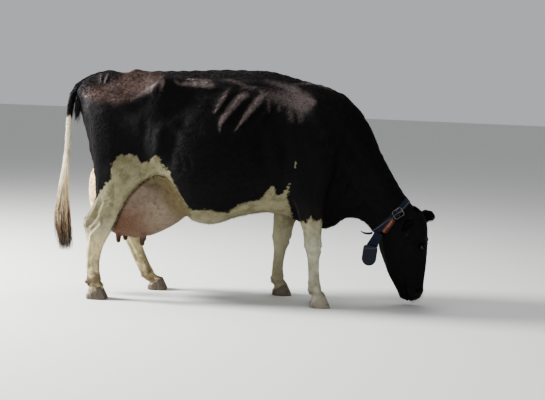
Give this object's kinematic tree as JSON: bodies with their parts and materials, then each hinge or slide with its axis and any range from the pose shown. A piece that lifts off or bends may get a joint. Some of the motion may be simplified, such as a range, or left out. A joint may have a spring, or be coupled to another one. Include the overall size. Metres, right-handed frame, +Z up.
{
  "type": "holstein-type dairy cow model",
  "caption": "Life-size still model of a black and white dairy cow standing with its head down to graze, with a neck collar and a hanging tag.",
  "frame": {"origin": "middle of the model's box, at floor level", "axes": "+X towards the head, +Y to the cow's left, +Z up"},
  "size_m": [2.5076, 0.7464, 1.4913],
  "materials": {
    "coat_dark": "short glossy black coat with a brown-grey bloom on the back",
    "coat_pale": "short matt cream-white coat, soiled towards the feet",
    "udder_skin": "thin pink skin with fine veins and sparse pale hair",
    "claw_horn": "worn grey-brown horn, ridged along the wall",
    "eye": "wet dark eye",
    "strap_web": "dark navy woven webbing",
    "sleeve": "orange moulded sleeve",
    "buckle_steel": "dull steel",
    "tag_plastic": "dark navy moulded case"
  },
  "bodies": {
    "root": {"trunk": "coat_dark", "neck": "coat_dark", "head": "coat_dark", "eye_left": "eye", "ear_left": "coat_dark", "eye_right": "eye", "ear_right": "coat_dark", "leg_fore_left": "coat_pale", "claw_fore_left_outer": "claw_horn", "dewclaw_fore_left_outer": "claw_horn", "claw_fore_left_inner": "claw_horn", "dewclaw_fore_left_inner": "claw_horn", "leg_fore_right": "coat_pale", "claw_fore_right_outer": "claw_horn", "dewclaw_fore_right_outer": "claw_horn", "claw_fore_right_inner": "claw_horn", "dewclaw_fore_right_inner": "claw_horn", "leg_hind_left": "coat_pale", "claw_hind_left_outer": "claw_horn", "dewclaw_hind_left_outer": "claw_horn", "claw_hind_left_inner": "claw_horn", "dewclaw_hind_left_inner": "claw_horn", "leg_hind_right": "coat_pale", "claw_hind_right_outer": "claw_horn", "dewclaw_hind_right_outer": "claw_horn", "claw_hind_right_inner": "claw_horn", "dewclaw_hind_right_inner": "claw_horn", "udder": "udder_skin", "teat_front_left": "udder_skin", "teat_front_right": "udder_skin", "teat_rear_left": "udder_skin", "teat_rear_right": "udder_skin", "tail_dock": "coat_dark", "tail_shaft": "coat_pale", "tail_switch": "coat_pale", "collar_strap": "strap_web", "collar_sleeve": "sleeve", "collar_buckle": "buckle_steel", "tag_strap": "strap_web", "tag": "tag_plastic", "strap_loose_end": "strap_web"}
  },
  "joints": []
}
